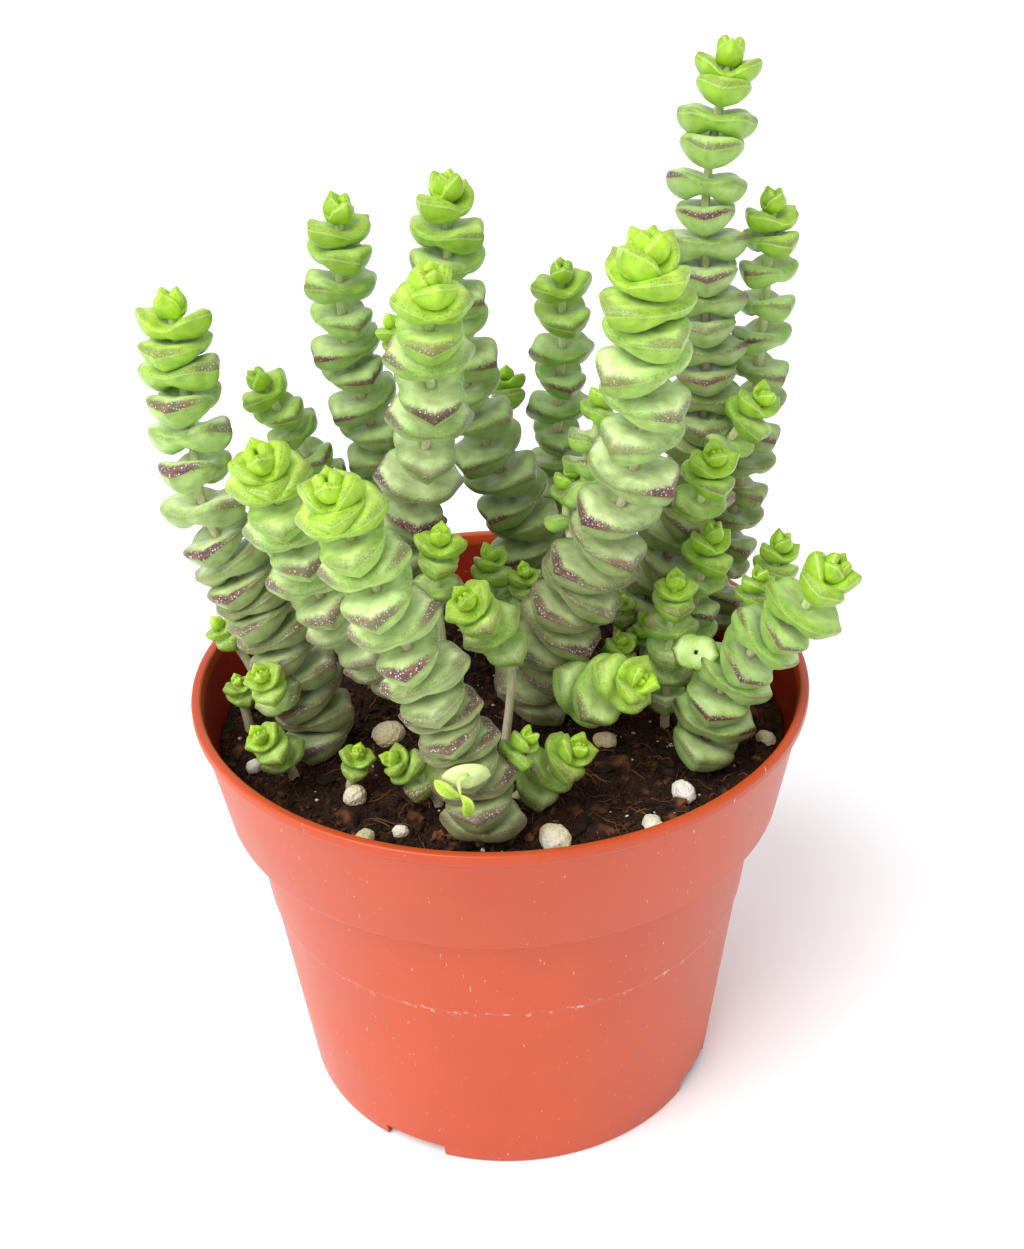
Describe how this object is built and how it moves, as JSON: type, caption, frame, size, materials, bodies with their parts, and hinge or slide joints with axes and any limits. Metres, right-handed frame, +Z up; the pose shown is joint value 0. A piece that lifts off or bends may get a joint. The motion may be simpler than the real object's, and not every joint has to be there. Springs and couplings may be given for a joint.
{
  "type": "potted baby necklace crassula",
  "caption": "Potted baby necklace crassula: leafy stems of stacked, fused leaf pairs standing in soil in a round, tapered nursery pot with a deep rim band and drainage notches.",
  "frame": {"origin": "middle of the pot's flat underside", "axes": "+Z up along the pot's axis, -Y towards the viewer of the picture, +X to the viewer's right"},
  "size_m": [0.1121, 0.108, 0.1841],
  "materials": {
    "pot_plastic": "satin",
    "potting_soil": "matte",
    "perlite": "matte",
    "leaf": "satin",
    "young_leaf": "satin"
  },
  "bodies": {
    "root": {"pot": "pot_plastic", "soil": "potting_soil", "perlite_01": "perlite", "perlite_02": "perlite", "perlite_03": "perlite", "perlite_04": "perlite", "perlite_05": "perlite", "perlite_06": "perlite", "perlite_07": "perlite", "perlite_08": "perlite", "perlite_09": "perlite", "perlite_10": "perlite", "perlite_11": "perlite", "perlite_12": "perlite", "stem_left": "leaf", "stem_left_back": "leaf", "stem_left_front": "leaf", "stem_back_left": "leaf", "stem_front": "leaf", "stem_back_middle": "leaf", "stem_middle": "leaf", "stem_back": "leaf", "stem_right_front": "leaf", "stem_tallest": "leaf", "stem_right_back": "leaf", "stem_right_inner": "leaf", "stem_right_far": "leaf", "stem_right": "leaf", "shoot_right_inner": "young_leaf", "shoot_centre_right_a": "young_leaf", "shoot_centre_right_b": "young_leaf", "shoot_centre_right_c": "young_leaf", "shoot_front_right": "young_leaf", "shoot_centre": "young_leaf", "shoot_centre_left": "young_leaf", "shoot_centre_back": "young_leaf", "shoot_left_low": "young_leaf", "shoot_front_left_a": "young_leaf", "shoot_front_left_b": "young_leaf", "shoot_far_left_a": "young_leaf", "shoot_far_left_b": "young_leaf"}
  },
  "joints": []
}
